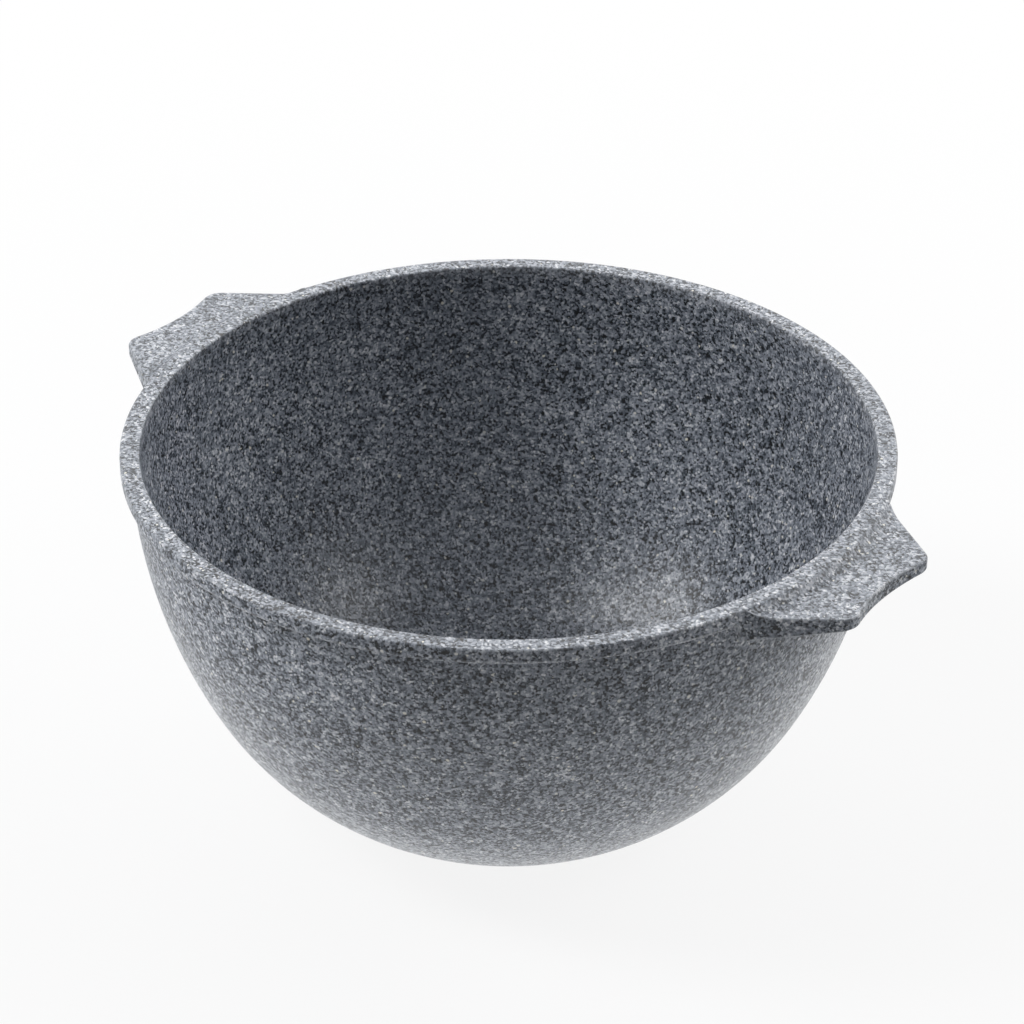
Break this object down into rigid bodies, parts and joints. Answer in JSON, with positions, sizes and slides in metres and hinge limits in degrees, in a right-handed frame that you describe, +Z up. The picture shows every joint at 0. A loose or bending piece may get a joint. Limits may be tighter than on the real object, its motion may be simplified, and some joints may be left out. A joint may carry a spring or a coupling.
{
  "type": "aluminium cauldron",
  "caption": "Round-bottomed cast aluminium cauldron for a hob, with a thick flat rim, scalloped ear handles cast on under the rim, a granite-speckled coating and a bare flat base.",
  "frame": {"origin": "middle of the flat base's resting face", "axes": "+Z up out of the mouth; +X along the line through both ears"},
  "size_m": [0.334, 0.288, 0.15],
  "materials": {
    "granite_coating": "cast aluminium under a semi-gloss, granite-speckled grey non-stick coating",
    "turned_base": "bare aluminium, turned flat with fine rings"
  },
  "bodies": {
    "root": {"cauldron": "granite_coating"}
  },
  "joints": []
}
